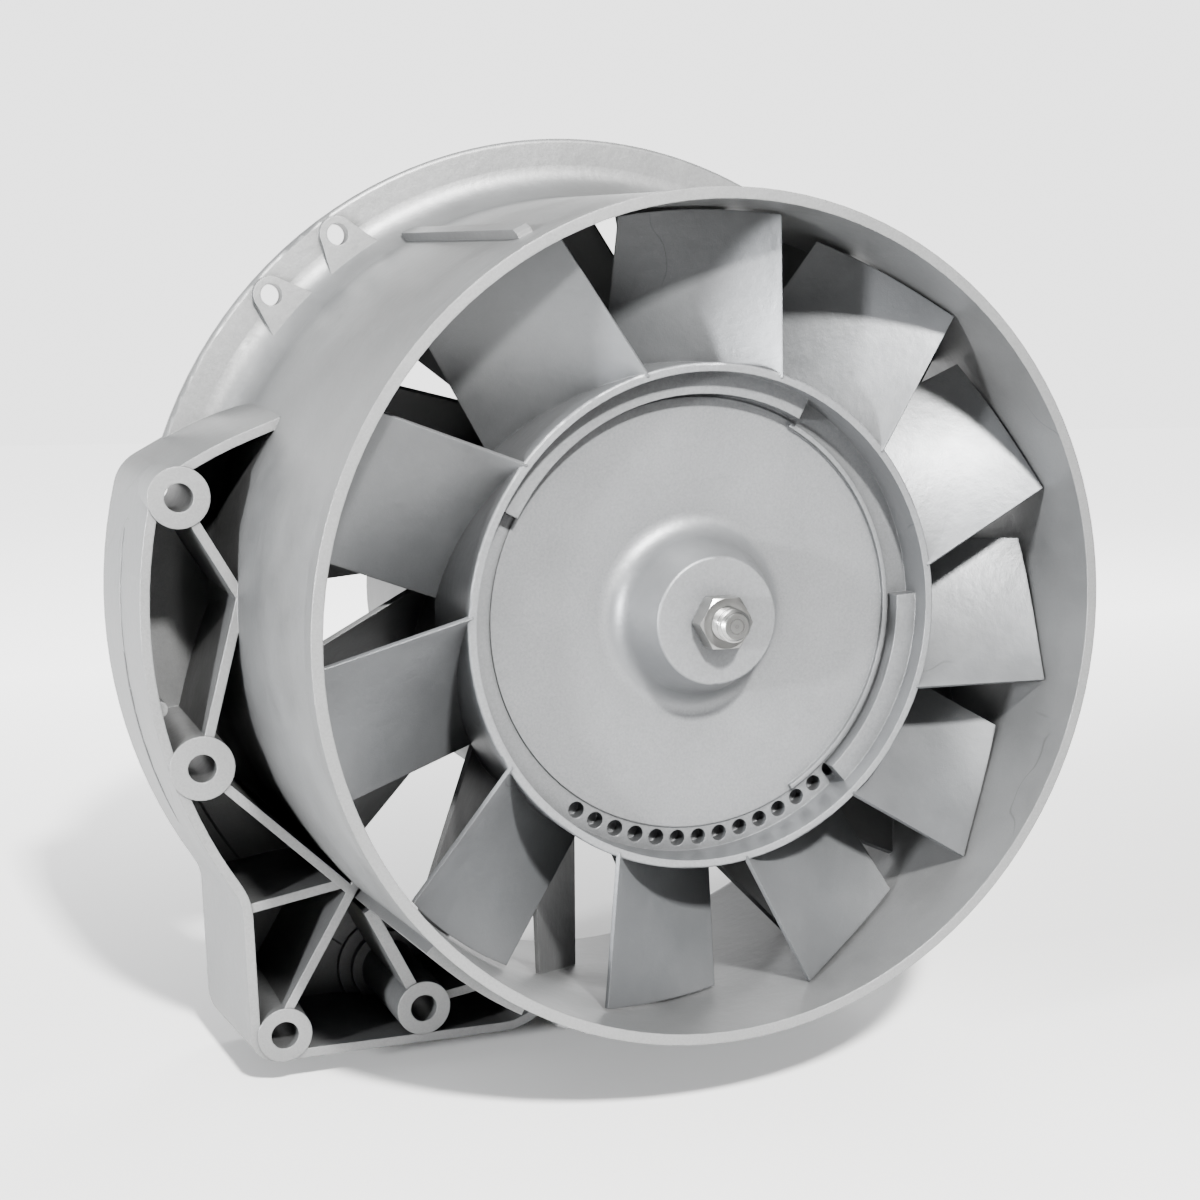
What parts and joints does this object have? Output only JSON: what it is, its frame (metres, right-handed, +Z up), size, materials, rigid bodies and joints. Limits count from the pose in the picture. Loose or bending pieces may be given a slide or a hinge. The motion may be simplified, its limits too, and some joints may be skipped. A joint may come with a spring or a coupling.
{
  "type": "axial cooling blower",
  "caption": "Belt-driven axial cooling blower: twisted-blade impeller spinning in a cast duct with guide vanes, inlet flange and a bolt-on bracket.",
  "frame": {"origin": "centre of the outlet rim's face, on the fan axis", "axes": "+Y along the fan axis towards the inlet flange and pulley, +Z up, +X to the right when looking at the outlet"},
  "size_m": [0.379, 0.202, 0.366],
  "materials": {
    "cast_housing": "satin cast aluminium with a silver coat",
    "cast_impeller": "satin cast aluminium with a silver coat",
    "plated_fastener": "zinc plated",
    "ground_steel": "ground",
    "bearing_steel": "polished",
    "spring_steel": "phosphated",
    "seal_rubber": "matt",
    "cage_steel": "pressed",
    "pulley_iron": "silver paint, satin"
  },
  "bodies": {
    "housing": {"housing": "cast_housing", "front_bearing_outer_ring": "bearing_steel", "rear_bearing_outer_ring": "bearing_steel", "bearing_circlips": "spring_steel", "front_shaft_seal": "seal_rubber", "rear_shaft_seal": "seal_rubber"},
    "rotor": {"impeller": "cast_impeller", "fan_shaft": "ground_steel", "impeller_nut": "plated_fastener", "front_distance_ring": "ground_steel", "front_bearing_inner_ring": "bearing_steel", "bearing_spacer_sleeve": "ground_steel", "rear_bearing_inner_ring": "bearing_steel", "rear_distance_ring": "ground_steel", "belt_pulley": "pulley_iron", "pulley_key": "ground_steel", "pulley_washer": "plated_fastener", "pulley_nut": "plated_fastener"},
    "front_ball_set": {"front_bearing_balls": "bearing_steel", "front_bearing_cage": "cage_steel"},
    "rear_ball_set": {"rear_bearing_balls": "bearing_steel", "rear_bearing_cage": "cage_steel"}
  },
  "joints": [
    {"name": "rotor_spin", "type": "hinge", "parent": "housing", "child": "rotor", "pos_m": [0, 0, 0], "axis": [0, -1, 0], "continuous": true},
    {"name": "front_balls_roll", "type": "hinge", "parent": "housing", "child": "front_ball_set", "pos_m": [0, 0.075, 0], "axis": [0, -1, 0], "continuous": true},
    {"name": "rear_balls_roll", "type": "hinge", "parent": "housing", "child": "rear_ball_set", "pos_m": [0, 0.131, 0], "axis": [0, -1, 0], "continuous": true}
  ],
  "couplings": [
    {"joint": "front_balls_roll", "follows": "rotor_spin", "ratio": 0.3818},
    {"joint": "rear_balls_roll", "follows": "rotor_spin", "ratio": 0.3818}
  ]
}
